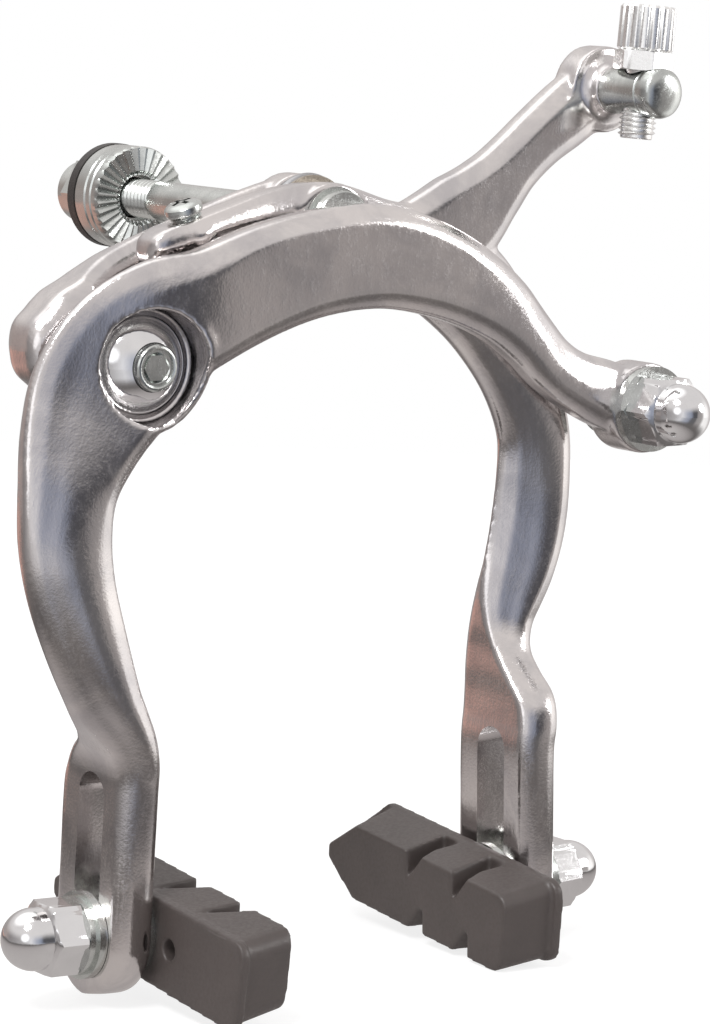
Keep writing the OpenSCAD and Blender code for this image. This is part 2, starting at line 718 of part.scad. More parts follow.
module leg_acorn_nut(turn) {
  translate([-leg_t - face_gap - outer_washers_t, 0, 0]) rotate([0, -90, 0]) rotate([0, 0, turn]) acorn_nut();
}

// Brake pad: flange, rubber block with an arrow end and notches, and the stud's socket.
// shift moves it forward, and rise lifts the friction face against the flange
module pad(shift, rise) {
  x0 = face_gap + seat_t;
  translate([x0, 0, 0]) rotate([pad_tilt, 0, 0]) difference() {
    union() {
      pad_layer(0, pad_flange, 0, 0, shift, 0);
      pad_layer(pad_flange - 0.01, pad_flange + pad_block, 0.9, 1.9, shift, rise);
    }
    rotate([0, 90, 0]) translate([0, 0, -1]) cylinder(d = stud_d + 0.02, h = 1 + 3 - seat_t);
    translate([0, -shift - 7, 0]) rotate([0, 90, 0]) translate([0, 0, -1]) cylinder(d = 3, h = 3.4);
    for (i = [0, 1], upper = [0, 1]) {
      y = -shift - i * notch_pitch + (upper ? 1.7 : -3.7);
      translate([pad_flange + pad_block, y, (upper ? notch_z : -notch_z) + rise])
        mirror([0, 0, 1 - upper]) mirror([0, 1 - upper, 0]) notch();
    }
  }
}
notch_pitch = 11.3;
notch_z = pad_h / 2 - 0.5;

// One layer of the pad between x0 and x1, its outline drawn in by in0 at x0 and in1 at x1 and lifted by
// rise at x1
module pad_layer(x0, x1, in0, in1, shift, rise) {
  a = pad_outline(in0, shift, 0);
  b = pad_outline(in1, shift, rise);
  k = len(a);
  points = concat([for (q = a) [x0, q[0], q[1]]], [for (q = b) [x1, q[0], q[1]]]);
  sides = [for (j = [0 : k - 1]) let (j2 = (j + 1) % k) each [[j, k + j, k + j2], [j, k + j2, j2]]];
  polyhedron(points, concat(sides, [[for (j = [0 : k - 1]) j]], [[for (j = [k - 1 : -1 : 0]) k + j]]));
}

// Outline of the pad, [y, z]: round corners in front, an arrow point behind
function pad_outline(inset, shift, rise) =
  let (
    y0 = -shift - pad_len / 2 + inset,
    y1 = -shift + pad_len / 2 - inset * 1.5,
    h = pad_h / 2 - inset * 0.2,
    r = 2.4,
    arrow = 7.5
  ) concat(
    [for (a = [180 : 22.5 : 270]) [y0 + r + r * cos(a), rise - h + r + r * sin(a)]],
    [[y1 - arrow, rise - h], [y1 - 0.6, rise - 1], [y1 - 0.6, rise + 1], [y1 - arrow, rise + h]],
    [for (a = [90 : 22.5 : 180]) [y0 + r + r * cos(a), rise + h - r + r * sin(a)]]
  );

// Notch in the upper edge of the friction face: a steep rear wall and a slope that rises to the front,
// deep at the
// face and shallow at the flange
module notch() {
  polyhedron(
    [[0.5, 0, 2], [0.5, -0.8, -4.6], [0.5, -5.6, 2],
     [-pad_block + 0.6, 0.3, 2], [-pad_block + 0.6, 0, -1.1], [-pad_block + 0.6, -5, 2]],
    [[0, 1, 2], [5, 4, 3], [1, 0, 3], [1, 3, 4], [2, 1, 4], [2, 4, 5], [0, 2, 5], [0, 5, 3]]
  );
}

module left_pad() { color([0.33, 0.31, 0.30]) in_frame() at_pad(-1) pad(left_pad_shift, pad_rise); }
module left_pad_stud() { color([0.5, 0.5, 0.49]) in_frame() at_pad(-1) pad_stud(); }
module left_washers() { color([0.62, 0.60, 0.58]) in_frame() at_pad(-1) leg_washers(); }
module left_acorn_nut() { color([0.76, 0.77, 0.76]) in_frame() at_pad(-1) leg_acorn_nut(8); }
module right_pad() { color([0.33, 0.31, 0.30]) in_frame() at_pad(1) pad(-right_pad_shift, -pad_rise); }
module right_pad_stud() { color([0.5, 0.5, 0.49]) in_frame() at_pad(1) pad_stud(); }
module right_washers() { color([0.62, 0.60, 0.58]) in_frame() at_pad(1) leg_washers(); }
module right_acorn_nut() { color([0.76, 0.77, 0.76]) in_frame() at_pad(1) leg_acorn_nut(20); }

bridge();
mounting_bolt();
pivot_washer();
centre_thrust_washer();
return_spring();
serrated_washer();
spacer_washer();
rubber_washer();
mounting_nut();
side_pivot_bolt();
side_pivot_screw();
side_thrust_washer();
front_arm();
side_bush();
anchor_bolt();
anchor_washer();
anchor_nut();
rear_arm();
centre_bush();
link_screw();
trunnion();
adjuster_barrel();
adjuster_lock_nut();
left_pad();
left_pad_stud();
left_washers();
left_acorn_nut();
right_pad();
right_pad_stud();
right_washers();
right_acorn_nut();
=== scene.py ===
# Dual-pivot caliper brake with polished forged arms, seen from its left front on a pale studio floor.
import bpy, bmesh, json, math
import numpy as np
from mathutils import Matrix, Vector


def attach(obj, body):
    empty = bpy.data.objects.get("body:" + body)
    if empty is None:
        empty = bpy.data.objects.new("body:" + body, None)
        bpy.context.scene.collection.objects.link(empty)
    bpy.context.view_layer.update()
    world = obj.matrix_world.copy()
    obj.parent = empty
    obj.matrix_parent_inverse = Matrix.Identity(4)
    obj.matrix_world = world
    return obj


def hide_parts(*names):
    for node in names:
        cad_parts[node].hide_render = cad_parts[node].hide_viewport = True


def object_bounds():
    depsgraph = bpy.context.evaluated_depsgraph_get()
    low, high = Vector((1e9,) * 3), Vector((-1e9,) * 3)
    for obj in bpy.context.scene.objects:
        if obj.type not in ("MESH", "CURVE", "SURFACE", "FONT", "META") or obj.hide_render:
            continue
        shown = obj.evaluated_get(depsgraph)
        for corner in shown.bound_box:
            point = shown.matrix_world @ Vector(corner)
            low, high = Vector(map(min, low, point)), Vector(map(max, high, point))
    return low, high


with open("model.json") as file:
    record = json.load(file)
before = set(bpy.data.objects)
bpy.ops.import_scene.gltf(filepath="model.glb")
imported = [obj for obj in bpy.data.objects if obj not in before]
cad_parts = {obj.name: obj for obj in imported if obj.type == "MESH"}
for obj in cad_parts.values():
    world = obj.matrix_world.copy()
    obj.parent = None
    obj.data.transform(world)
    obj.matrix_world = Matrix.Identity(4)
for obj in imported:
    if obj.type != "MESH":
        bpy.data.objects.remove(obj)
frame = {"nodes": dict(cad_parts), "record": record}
part = frame["nodes"]
cad_box = [list(corner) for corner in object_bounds()]
mm = 0.001
pad_plane = -12.52 * mm   # the pads' bolts lie in this plane, in front of the frame's origin

# Camera and studio. A long lens looks from the left front and slightly down. A large lamp hangs up to the left and a
# weaker one fills from the right. The polished fronts show the room, which is bright behind the camera and to the
# right and dark between. They also show the pale floor under the brake's lowest point, which glows to them with a
# painted reflection that is darker and warmer than the floor itself.
turn, tip_down, roll = math.radians(36.315), math.radians(8.163), math.radians(1.77)
distance = 0.565887
ahead = Vector((math.sin(turn) * math.cos(tip_down), math.cos(turn) * math.cos(tip_down), -math.sin(tip_down)))
level = Vector((math.cos(turn), -math.sin(turn), 0))
upright = level.cross(ahead)
across = math.cos(roll) * level + math.sin(roll) * upright
upward = math.cos(roll) * upright - math.sin(roll) * level
aim = Vector((5.48 * mm, pad_plane, -42.603 * mm))
lens = bpy.data.cameras.new("view")
lens.sensor_width, lens.lens = 36, 3855.6 / 1024 * 36
lens.clip_start, lens.clip_end = 0.01, 20
camera = bpy.data.objects.new("view", lens)
bpy.context.scene.collection.objects.link(camera)
seen_along = Matrix((across, upward, -ahead)).transposed().to_4x4()
camera.matrix_world = Matrix.Translation(aim - distance * ahead) @ seen_along
bpy.context.scene.camera = camera
bpy.context.scene.view_settings.view_transform = "Standard"

def put(tree, kind, links=None, **settings):
    made = tree.nodes.new(kind)
    for key, value in settings.items():
        setattr(made, key, value)
    for socket, value in (links or {}).items():
        if isinstance(value, bpy.types.NodeSocket):
            tree.links.new(value, made.inputs[socket])
        else:
            made.inputs[socket].default_value = value
    return made

def eased(tree, value, low, high):
    made = put(tree, "ShaderNodeMapRange", {0: value, 1: low, 2: high}, interpolation_type="SMOOTHSTEP")
    return made.outputs[0]

def blend(tree, share, first, second):
    return put(tree, "ShaderNodeMix", {0: share, 6: first, 7: second}, data_type="RGBA").outputs[2]

def compass(tree, axes):
    """Bearing of a direction, from 0 at -180 degrees to 1 at 180."""
    bearing = put(tree, "ShaderNodeMath", {0: axes["Y"], 1: axes["X"]}, operation="ARCTAN2").outputs[0]
    return put(tree, "ShaderNodeMapRange", {0: bearing, 1: -math.pi, 2: math.pi}).outputs[0]

def ramp(tree, along, stops):
    made = put(tree, "ShaderNodeValToRGB", {0: along})
    while len(made.color_ramp.elements) < len(stops):
        made.color_ramp.elements.new(0.5)
    for stop, (at, colour) in zip(made.color_ramp.elements, stops):
        stop.position, stop.color = at, (*colour, 1)
    return made.outputs[0]

def by_bearing(stops):
    return [(at / 360 + 0.5, colour) for at, colour in stops]

studio = bpy.data.worlds.new("studio")
bpy.context.scene.world = studio
studio.use_nodes = True
sky = studio.node_tree
sky.nodes.clear()
direction = put(sky, "ShaderNodeTexCoord").outputs["Generated"]
axes = put(sky, "ShaderNodeSeparateXYZ", {0: direction}).outputs
panels = by_bearing((   # bearing in degrees from +X, then what stands there
    (-180, (0.40, 0.38, 0.38)), (-150, (0.55, 0.53, 0.53)), (-125, (0.90, 0.89, 0.91)), (-106, (0.50, 0.52, 0.60)),
    (-92, (0.34, 0.37, 0.46)), (-80, (0.11, 0.11, 0.125)), (-65, (0.11, 0.108, 0.115)), (-57, (0.38, 0.355, 0.35)),
    (-42, (0.46, 0.43, 0.42)), (-30, (1.35, 1.32, 1.30)), (-6, (1.25, 1.22, 1.20)), (14, (0.72, 0.68, 0.67)),
    (53, (0.62, 0.58, 0.57)), (90, (0.42, 0.39, 0.38)), (126, (0.46, 0.39, 0.37)), (150, (0.30, 0.28, 0.28)),
    (180, (0.40, 0.38, 0.38))))
room = ramp(sky, compass(sky, axes), panels)
room = blend(sky, eased(sky, axes["Z"], 0.12, 0.55), room, (0.84, 0.81, 0.80, 1))
room = blend(sky, eased(sky, axes["Z"], -0.34, -0.6), room, (0.30, 0.27, 0.26, 1))
for where, inner, outer, colour in (
    ((-0.15, 0.35, 0.92), 14, 36, (1.7, 1.68, 1.66, 1)),
    ((-0.80, -0.52, 0.30), 8, 18, (1.5, 1.5, 1.52, 1)),
):
    toward = Vector(where).normalized()
    facing = put(sky, "ShaderNodeVectorMath", {0: direction, 1: tuple(toward)}, operation="DOT_PRODUCT")
    patch = eased(sky, facing.outputs["Value"], math.cos(math.radians(outer)), math.cos(math.radians(inner)))
    room = blend(sky, patch, room, colour)
seen = put(sky, "ShaderNodeLightPath").outputs["Is Camera Ray"]
tone = blend(sky, seen, room, (1, 1, 1, 1))
put(sky, "ShaderNodeOutputWorld", {0: put(sky, "ShaderNodeBackground", {0: tone, 1: 1.0}).outputs[0]})

for name, place, size, watts in (
    ("key", (-0.45, -0.25, 0.62), 0.30, 5.0),
    ("fill", (0.75, -0.55, 0.25), 0.40, 2.5),
):
    lamp = bpy.data.lights.new(name, "AREA")
    lamp.energy, lamp.size, lamp.shape = watts, size, "DISK"
    stand = bpy.data.objects.new(name, lamp)
    bpy.context.scene.collection.objects.link(stand)
    aimed = (Vector((0, 0, -0.04)) - Vector(place)).to_track_quat("-Z", "Y").to_matrix().to_4x4()
    stand.matrix_world = Matrix.Translation(place) @ aimed

ground, floor_reach, floor_sides = cad_box[0][2], 0.60, 96
floor_mesh = bpy.data.meshes.new("floor")
turns = np.linspace(0, 2 * math.pi, floor_sides + 1)[:-1]
rim = [(floor_reach * math.cos(a), floor_reach * math.sin(a), ground) for a in turns]
floor_mesh.from_pydata(rim, [], [range(floor_sides)])
floor = bpy.data.objects.new("floor", floor_mesh)
bpy.context.scene.collection.objects.link(floor)
pale = bpy.data.materials.new("pale_floor")
pale.use_nodes = True
tree = pale.node_tree
tree.nodes.clear()
path = put(tree, "ShaderNodeLightPath")
matt = put(tree, "ShaderNodeBsdfDiffuse", {0: (0.86, 0.86, 0.86, 1)}).outputs[0]
white = put(tree, "ShaderNodeEmission", {0: (1, 1, 1, 1), 1: 1.12}).outputs[0]
spot = put(tree, "ShaderNodeTexCoord").outputs["Object"]
spread = put(tree, "ShaderNodeVectorMath", {0: spot}, operation="LENGTH").outputs["Value"]
axes = put(tree, "ShaderNodeSeparateXYZ", {0: spot}).outputs
# Painted reflection: glossy rays see the floor glow pale right under the brake and dark farther out. Beyond that it
# takes the room's tones with a warm pink band added, so the polished faces mirror it darker and warmer than it is.
near = ramp(tree, spread, ((0.105, (0.74, 0.70, 0.68)), (0.135, (0.50, 0.46, 0.45)),
                           (0.165, (0.13, 0.115, 0.11)), (0.22, (0.13, 0.115, 0.11))))
warm_reflection_band = by_bearing(((100, (0.82, 0.49, 0.41)), (123, (0.82, 0.48, 0.40)), (131, (0.26, 0.22, 0.21))))
low = sorted([stop for stop in panels if not 0.76 < stop[0] < 0.91] + warm_reflection_band)
shown = blend(tree, eased(tree, spread, 0.165, 0.26), near, ramp(tree, compass(tree, axes), low))
painted_reflection = put(tree, "ShaderNodeEmission", {0: shown, 1: 0.85}).outputs[0]
veil = put(tree, "ShaderNodeMapRange", {0: spread, 1: 0.18, 2: 0.32, 3: 0.72, 4: 1.0}).outputs[0]
faint = put(tree, "ShaderNodeMath", {0: path.outputs["Is Camera Ray"], 1: veil}, operation="MULTIPLY")
mirrored = put(tree, "ShaderNodeMath", {0: path.outputs["Is Glossy Ray"], 1: 0.95}, operation="MULTIPLY")
lit = put(tree, "ShaderNodeMixShader", {0: faint.outputs[0], 1: matt, 2: white})
surface = put(tree, "ShaderNodeMixShader", {0: mirrored.outputs[0], 1: lit.outputs[0], 2: painted_reflection})
put(tree, "ShaderNodeOutputMaterial", {0: surface.outputs[0]})
floor_mesh.materials.append(pale)

# Bridge: the forged and polished aluminium plate behind the arms that carries both pivots. Its long edges are
# bevelled in front and softened all round by tumbling and polishing.
def group(name, sizes, results):
    made = bpy.data.node_groups.new(name, "ShaderNodeTree")
    for label, value in sizes.items():
        made.interface.new_socket(label, in_out="INPUT", socket_type="NodeSocketFloat").default_value = value
    for label, kind in results.items():
        made.interface.new_socket(label, in_out="OUTPUT", socket_type=kind)
    return made, put(made, "NodeGroupInput"), put(made, "NodeGroupOutput")

# mottling left by hand polishing, with hairlines: "Patches" is their number per metre
mottle, given, result = group("hand_polish", {"Patches": 90, "Hairlines": 900, "Contrast": 0.5},
                              {"Tone": "NodeSocketFloat", "Drag": "NodeSocketFloat", "Height": "NodeSocketFloat"})
spot = put(mottle, "ShaderNodeTexCoord").outputs["Object"]
cloud = put(mottle, "ShaderNodeTexNoise", {"Vector": spot, "Scale": given.outputs["Patches"], "Detail": 5,
                                           "Roughness": 0.62, "Distortion": 0.6})
steep = eased(mottle, cloud.outputs[0], 0.32, 0.68)
stretch = put(mottle, "ShaderNodeVectorMath", {0: spot, 1: (1.0, 5.0, 0.35)}, operation="MULTIPLY")
hair = put(mottle, "ShaderNodeTexNoise", {"Vector": stretch.outputs[0], "Scale": given.outputs["Hairlines"],
                                          "Detail": 3, "Roughness": 0.7})
speck = put(mottle, "ShaderNodeTexNoise", {"Vector": spot, "Scale": 2600, "Detail": 2})
both = put(mottle, "ShaderNodeMath", {0: hair.outputs[0], 1: speck.outputs[0]}, operation="MULTIPLY")
mixed = put(mottle, "ShaderNodeMath", {0: steep, 1: given.outputs["Contrast"]}, operation="MULTIPLY")
mottle.links.new(mixed.outputs[0], result.inputs["Tone"])
mottle.links.new(both.outputs[0], result.inputs["Drag"])
total = put(mottle, "ShaderNodeMath", {0: cloud.outputs[0], 1: 1.0, 2: both.outputs[0]},
            operation="MULTIPLY_ADD")
mottle.links.new(total.outputs[0], result.inputs["Height"])

def metal(name, light, dark, smooth, rough, patches=90, hairlines=900, contrast=0.5, relief=0.03):
    made = bpy.data.materials.new(name)
    made.use_nodes = True
    tree = made.node_tree
    tree.nodes.clear()
    polish = put(tree, "ShaderNodeGroup")
    polish.node_tree = mottle
    for label, value in (("Patches", patches), ("Hairlines", hairlines), ("Contrast", contrast)):
        polish.inputs[label].default_value = value
    colour = blend(tree, polish.outputs["Tone"], (*light, 1), (*dark, 1))
    drag = put(tree, "ShaderNodeMapRange", {0: polish.outputs["Drag"], 1: 0.12, 2: 0.4, 3: smooth, 4: rough})
    bump = put(tree, "ShaderNodeBump",
               {"Height": polish.outputs["Height"], "Distance": relief * mm, "Strength": 0.6})
    body = put(tree, "ShaderNodeBsdfPrincipled", {"Base Color": colour, "Metallic": 1.0,
                                                  "Roughness": drag.outputs[0], "Normal": bump.outputs[0]})
    put(tree, "ShaderNodeOutputMaterial", {0: body.outputs[0]})
    return made

alloy = metal("polished_alloy", (0.76, 0.725, 0.71), (0.44, 0.43, 0.45), 0.09, 0.24,
              patches=75, contrast=0.6, relief=0.05)

at_pads = Matrix.Translation((0, pad_plane, 0))
here = Matrix.Identity(4)

def flow(rows, steps):
    """Smooth path through stations, as the arms' own outlines run."""
    rows = np.array(rows, float)
    pts = np.vstack([rows[:1], rows, rows[-1:]])
    t = np.arange(steps)[:, None] / steps
    out = []
    for a, b, c, d in zip(pts[:-3], pts[1:-2], pts[2:-1], pts[3:]):
        out.append(0.5 * (2 * b + (c - a) * t + (2 * a - 5 * b + 4 * c - d) * t**2
                          + (3 * b - a - 3 * c + d) * t**3))
    return np.vstack(out + [rows[-1:]])

def section(w, y0, y1, bo, co, fall, crown):
    """Outline of a forging as [across, y]. Its front is bevelled where crown is 0 and domed where it is 1."""
    h, f = w / 2, y0 + 0.12
    b, c = min(2.6, 0.3 * w), min(1.5, 0.16 * w)
    r = min(1.3, 0.25 * w, 0.2 * (y1 - y0))
    edge = np.array([0, 0.12, 0.5, 1.0])
    middle = np.arange(1, 8) / 8
    x = np.concatenate([-h + b * edge, -h + b + (w - b - bo) * middle, (h - bo * edge)[::-1]])
    drop = np.array([1.35, 1.0, 0.42, 0])
    bevelled = np.concatenate([c * drop, fall * middle, fall + co * drop[::-1]])
    inner = np.abs((x + bo / 2) / (h - bo / 2)) ** 2.2
    rounded = 0.85 * c * np.minimum(inner, 1.1) + fall * (x / h + 1) / 2 + 0.3 * (x < 0.001 - h)
    rounded[-4:] = rounded[-4] + 0.75 * co * drop[::-1]
    front = np.column_stack([x, f + (1 - crown) * bevelled + crown * rounded])
    back = np.array([[h, y1 - r], [h - 0.3 * r, y1 - 0.3 * r], [h - r, y1],
                     [-h + r, y1], [-h + 0.3 * r, y1 - 0.3 * r], [-h, y1 - r]])
    corners = np.vstack([front, back])
    return np.vstack([[a, (a + z) / 2] for a, z in zip(corners, np.roll(corners, -1, 0))])

def between(lower, upper, count):
    """Faces that join two rings of count points, from the index of each ring's first point."""
    return [(lower + j, lower + (j + 1) % count, upper + (j + 1) % count, upper + j) for j in range(count)]

def caps(count, last):
    return [tuple(range(count - 1, -1, -1)), tuple(range(last, last + count))]

def sweep(rows, crown=0.2, steps=9):
    """Closed mesh along stations [x, z, width, y front, y back (, bevel width, bevel depth, fall)], in mm."""
    rows = [list(r) + ([] if len(r) > 5 else [min(2.6, 0.3 * r[2]), min(1.5, 0.16 * r[2]), 0]) for r in rows]
    path = flow(np.column_stack([rows, np.broadcast_to(crown, len(rows))]), steps)
    run = np.gradient(path[:, :2], axis=0)
    run /= np.linalg.norm(run, axis=1)[:, None]
    rings = [np.column_stack([p[0] - t[1] * s[:, 0], s[:, 1], p[1] + t[0] * s[:, 0]])
             for p, t in zip(path, run) for s in [section(*p[2:9])]]
    n, k = len(rings), len(rings[0])
    faces = [face for i in range(n - 1) for face in between(i * k, (i + 1) * k, k)]
    return np.vstack(rings), faces + caps(k, (n - 1) * k)

def rod(start, end, r0, r1=None, count=96):
    """Closed round bar between two points, in mm."""
    start, end = Vector(start), Vector(end)
    spin = (end - start).to_track_quat("Z", "Y").to_matrix()
    ring = [spin @ Vector((math.cos(a), math.sin(a), 0)) for a in np.linspace(0, 2 * math.pi, count + 1)[:-1]]
    pts = [start + r0 * q for q in ring] + [end + (r0 if r1 is None else r1) * q for q in ring]
    return np.array(pts), between(0, count, count) + caps(count, count)

def post(at, y0, y1, r0, r1=None):
    """Round bar along y through the point (x, z)."""
    return rod((at[0], y0, at[1]), (at[0], y1, at[1]), r0, r1)

def solid(name, shapes, place=None):
    """One object from closed shapes in mm, which place puts where they belong; faces turned outward."""
    pts, faces = [], []
    for p, f in shapes:
        base = sum(len(q) for q in pts)
        pts.append(np.asarray(p))
        faces += [tuple(base + i for i in face) for face in f]
    mesh = bpy.data.meshes.new(name)
    mesh.from_pydata((np.vstack(pts) * mm).tolist(), [], faces)
    mesh.transform(at_pads if place is None else place)
    shape = bmesh.new()
    shape.from_mesh(mesh)
    bmesh.ops.recalc_face_normals(shape, faces=shape.faces)
    shape.to_mesh(mesh)
    shape.free()
    made = bpy.data.objects.new(name, mesh)
    bpy.context.scene.collection.objects.link(made)
    return made

def settle(thing):
    """Applies the object's modifiers and drops them."""
    baked = bpy.data.meshes.new_from_object(thing.evaluated_get(bpy.context.evaluated_depsgraph_get()))
    thing.modifiers.clear()
    thing.data = baked

def soften(thing, rounds):
    """Rounds every edge a little, as polishing does."""
    mesh = thing.data
    n = len(mesh.vertices)
    co = np.empty(n * 3, np.float32)
    mesh.vertices.foreach_get("co", co)
    co = co.reshape(-1, 3).astype(float)
    edge = np.empty(len(mesh.edges) * 2, np.int32)
    mesh.edges.foreach_get("vertices", edge)
    a, b = edge.reshape(-1, 2).T
    count = np.bincount(np.concatenate([a, b]), minlength=n)[:, None]
    for _ in range(rounds):
        total = np.column_stack([np.bincount(a, co[b, i], n) + np.bincount(b, co[a, i], n) for i in range(3)])
        co += 0.6 * (total / count - co)
    mesh.vertices.foreach_set("co", co.astype(np.float32).ravel())
    mesh.update()

def cut(thing, shapes, place=None):
    tool = solid(thing.name + "_cut", shapes, place)
    drill = thing.modifiers.new("drill", "BOOLEAN")
    drill.operation, drill.solver, drill.object = "DIFFERENCE", "MANIFOLD", tool
    settle(thing)
    bpy.data.objects.remove(tool)

def grow(thing, voxel):
    """One skin round everything that overlaps."""
    skin = thing.modifiers.new("skin", "REMESH")
    skin.mode, skin.voxel_size = "VOXEL", voxel * mm
    settle(thing)

def finish(thing, node, body, material, angle=38):
    """Shades the piece, gives it its material, and hands it over in place of its plain CAD piece."""
    thing.data.polygons.foreach_set("use_smooth", [True] * len(thing.data.polygons))
    thing.data.set_sharp_from_angle(angle=math.radians(angle))
    thing.data.materials.clear()
    thing.data.materials.append(material)
    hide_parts(node)
    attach(thing, body)

def forging(node, body, shapes, worn, crisp, voxel=0.30, rounds=5):
    """Blank grown from overlapping shapes; worn hollows are cut and polished soft before the crisp holes."""
    blank = solid(node + "_forging", shapes)
    grow(blank, voxel)
    if worn:
        cut(blank, worn)
        grow(blank, voxel)
    soften(blank, rounds)
    cut(blank, crisp)
    finish(blank, node, body, alloy)

bridge_rows = [
    [-47.3, -18.7, 1.6, 6.2, 10.6], [-47.0, -18.65, 4.6, 5.2, 11.6], [-46.2, -18.5, 7.6, 4.5, 12.2],
    [-44.8, -18.2, 10.6, 4.0, 12.52], [-42.6, -17.8, 13.4, 3.8, 12.52], [-39.5, -17.0, 16.0, 3.76, 12.52],
    [-34.5, -15.4, 17.6, 4.06, 12.52], [-29.2, -12.2, 17.0, 6.62, 12.52], [-23.0, -8.6, 14.6, 8.22, 12.52],
    [-15.0, -4.6, 12.4, 8.22, 12.52], [-7.0, -1.8, 12.2, 8.22, 12.52], [0.0, -0.4, 12.6, 8.22, 12.52],
    [5.6, 0.4, 8.4, 8.52, 12.22]]
hub, pivot = (0, 0), (-34.7, -19.1)
forging("bridge", "bridge",
        [sweep(bridge_rows), post(hub, 8.22, 12.52, 6.5), post(hub, 5.62, 12.52, 5.0),
         post(pivot, 3.76, 12.52, 9.0)],
        [], [post(hub, 3.6, 14.5, 3.1), post(pivot, 1.7, 14.5, 3.0)])

# Front arm: one aluminium forging with the left leg, the pocket for the side pivot, the arch and the cable anchor's
# boss. It is ground, tumbled and polished, so its bevels are soft and its reflections run in long streaks.
leg_lean, leg_gap, leg_thick, leg_round = math.radians(2), 32.5, 6.7, 8.5
leg_top, leg_foot, slot_foot, slot_round = -80.4, -109.4, -102, 3.3

def leg_x(z):
    """Middle of the right leg at a height: both lean outward towards the foot."""
    return leg_gap + leg_thick / 2 + (leg_top - z) * math.tan(leg_lean)

def leg_rows(side):
    """Stations of a leg, from its round foot up to where the arm above it begins."""
    rows = []
    for degrees in (84, 66, 48, 30, 12, 0):
        a = math.radians(degrees)
        z = leg_foot + (1 - math.sin(a)) * leg_round
        rows.append([side * leg_x(z), z, leg_thick, -math.cos(a) * leg_round, math.cos(a) * leg_round])
    return rows + [[side * leg_x(z), z, leg_thick, -leg_round, leg_round] for z in (-91.2, leg_top)]

def leg_slot(side):
    """Long hole for the pad's bolt, square to the leg."""
    up = np.array([-side * math.sin(leg_lean), 0, math.cos(leg_lean)])
    out = np.array([math.cos(leg_lean), 0, side * math.sin(leg_lean)])
    low, high = (np.array([side * leg_x(z), 0, z]) for z in (slot_foot, leg_top))
    bow = [slot_round * (np.cos(a) * np.array([0, 1, 0]) + np.sin(a) * up) for a in np.linspace(0, math.pi, 25)]
    ring = [high + q for q in bow] + [low - q for q in bow]
    k, reach = len(ring), 6 * out
    return np.array([q - reach for q in ring] + [q + reach for q in ring]), between(0, k, k) + caps(k, k)

front_rows = leg_rows(-1) + [
    [-35.9, -76.0, 6.9, -8.7, 7.2], [-36.7, -72.5, 7.4, -8.9, 4.6], [-38.5, -69.2, 8.4, -9, 0.6],
    [-41.0, -65.0, 10.0, -9, -2.0], [-44.0, -58.0, 11.6, -9, -2.9], [-46.7, -50.0, 12.6, -9, -3],
    [-47.9, -43.0, 13.4, -9, -3, 2.6, 1.5, 0], [-47.6, -36.5, 14.2, -9, -2.6, 4.0, 1.8, 0.7],
    [-45.9, -30.4, 16.8, -9, -1.6, 4.8, 1.8, 2.3], [-42.6, -23.6, 20.0, -9, -1.0, 5.0, 1.6, 3.6],
    [-38.0, -17.8, 21.0, -9, -2.0, 5.0, 1.6, 3.1], [-32.3, -13.6, 19.4, -9, -3, 4.4, 1.7, 1.4],
    [-25.2, -11.0, 16.6, -9, -3, 3.4, 1.6, 0.2], [-16.2, -7.6, 15.9, -9, -3], [-7.2, -5.4, 15.3, -9, -3],
    [2.3, -4.5, 15.1, -9, -3], [10.4, -5.6, 14.3, -9, -3], [18.6, -8.3, 12.8, -9, -3],
    [26.2, -12.3, 10.9, -9, -3], [31.9, -17.0, 9.1, -9, -3], [36.2, -21.0, 8.6, -9, -3],
    [40.8, -23.8, 8.9, -9, -3], [46.6, -26.0, 10.2, -9, -3],
    [52.6, -28.0, 10.4, -8.4, -3.4]]
anchor = (53.6, -28.4)

def tilted_rim():
    """Wall round the pocket. Its rim falls back to the left, and steeply at the arm's inner edge."""
    inside, outside, level_to, pocket_wide, rim_y, foot_y, sides = 7.6, 9.3, 8.3, 16.2, -9.15, -3, 96
    slope, tilt, lean = math.tan(math.radians(14)), math.tan(math.radians(28)), math.radians(48)
    turns = np.linspace(0, 2 * math.pi, sides + 1)[:-1]
    pts = []
    for radius in (inside, outside):
        for a in turns:
            x, z = min(radius, level_to) * math.cos(a), min(radius, level_to) * math.sin(a)
            inward = x * math.cos(lean) - z * math.sin(lean) - 0.2 * pocket_wide
            y = rim_y + max(0, slope * (pocket_wide / 2 - x), tilt * inward)
            pts.append([pivot[0] + radius * math.cos(a), y, pivot[1] + radius * math.sin(a)])
    for radius in (outside, inside):
        pts += [[pivot[0] + radius * math.cos(a), foot_y, pivot[1] + radius * math.sin(a)] for a in turns]
    layers = ((0, 1), (1, 2), (2, 3), (3, 0))
    return np.array(pts), [face for a, b in layers for face in between(a * sides, b * sides, sides)]

box_faces = [(0, 1, 3, 2), (4, 5, 7, 6), (0, 1, 5, 4), (2, 3, 7, 6), (0, 2, 6, 4), (1, 3, 7, 5)]
link_lean, ledge_lean, foot_round = math.radians(20), math.radians(12.4), 2.22
screw_up = np.array([-math.sin(link_lean), 0, math.cos(link_lean)])
screw_foot = np.array([-21.6, 2, -6.4])
seat = screw_foot + foot_round * screw_up
along = np.array([math.cos(ledge_lean), 0, math.sin(ledge_lean)])
off = np.array([-math.sin(ledge_lean), 0, math.cos(ledge_lean)])
ledge = np.array([seat + x * along + z * off + np.array([0, y - 2, 0])
                  for z in (-6.62, -foot_round) for x in (-5.4, 4.0) for y in (-4.5, 4.46)])
front_crown = [0.2] * 8 + [0.4, 0.5, 0.7, 0.85, 0.95, 0.95, 0.9, 0.6, 0.25, 0.08] + [0.05] * 7 + [
    0.1, 0.25, 0.4, 0.55, 0.65, 0.6, 0.4]
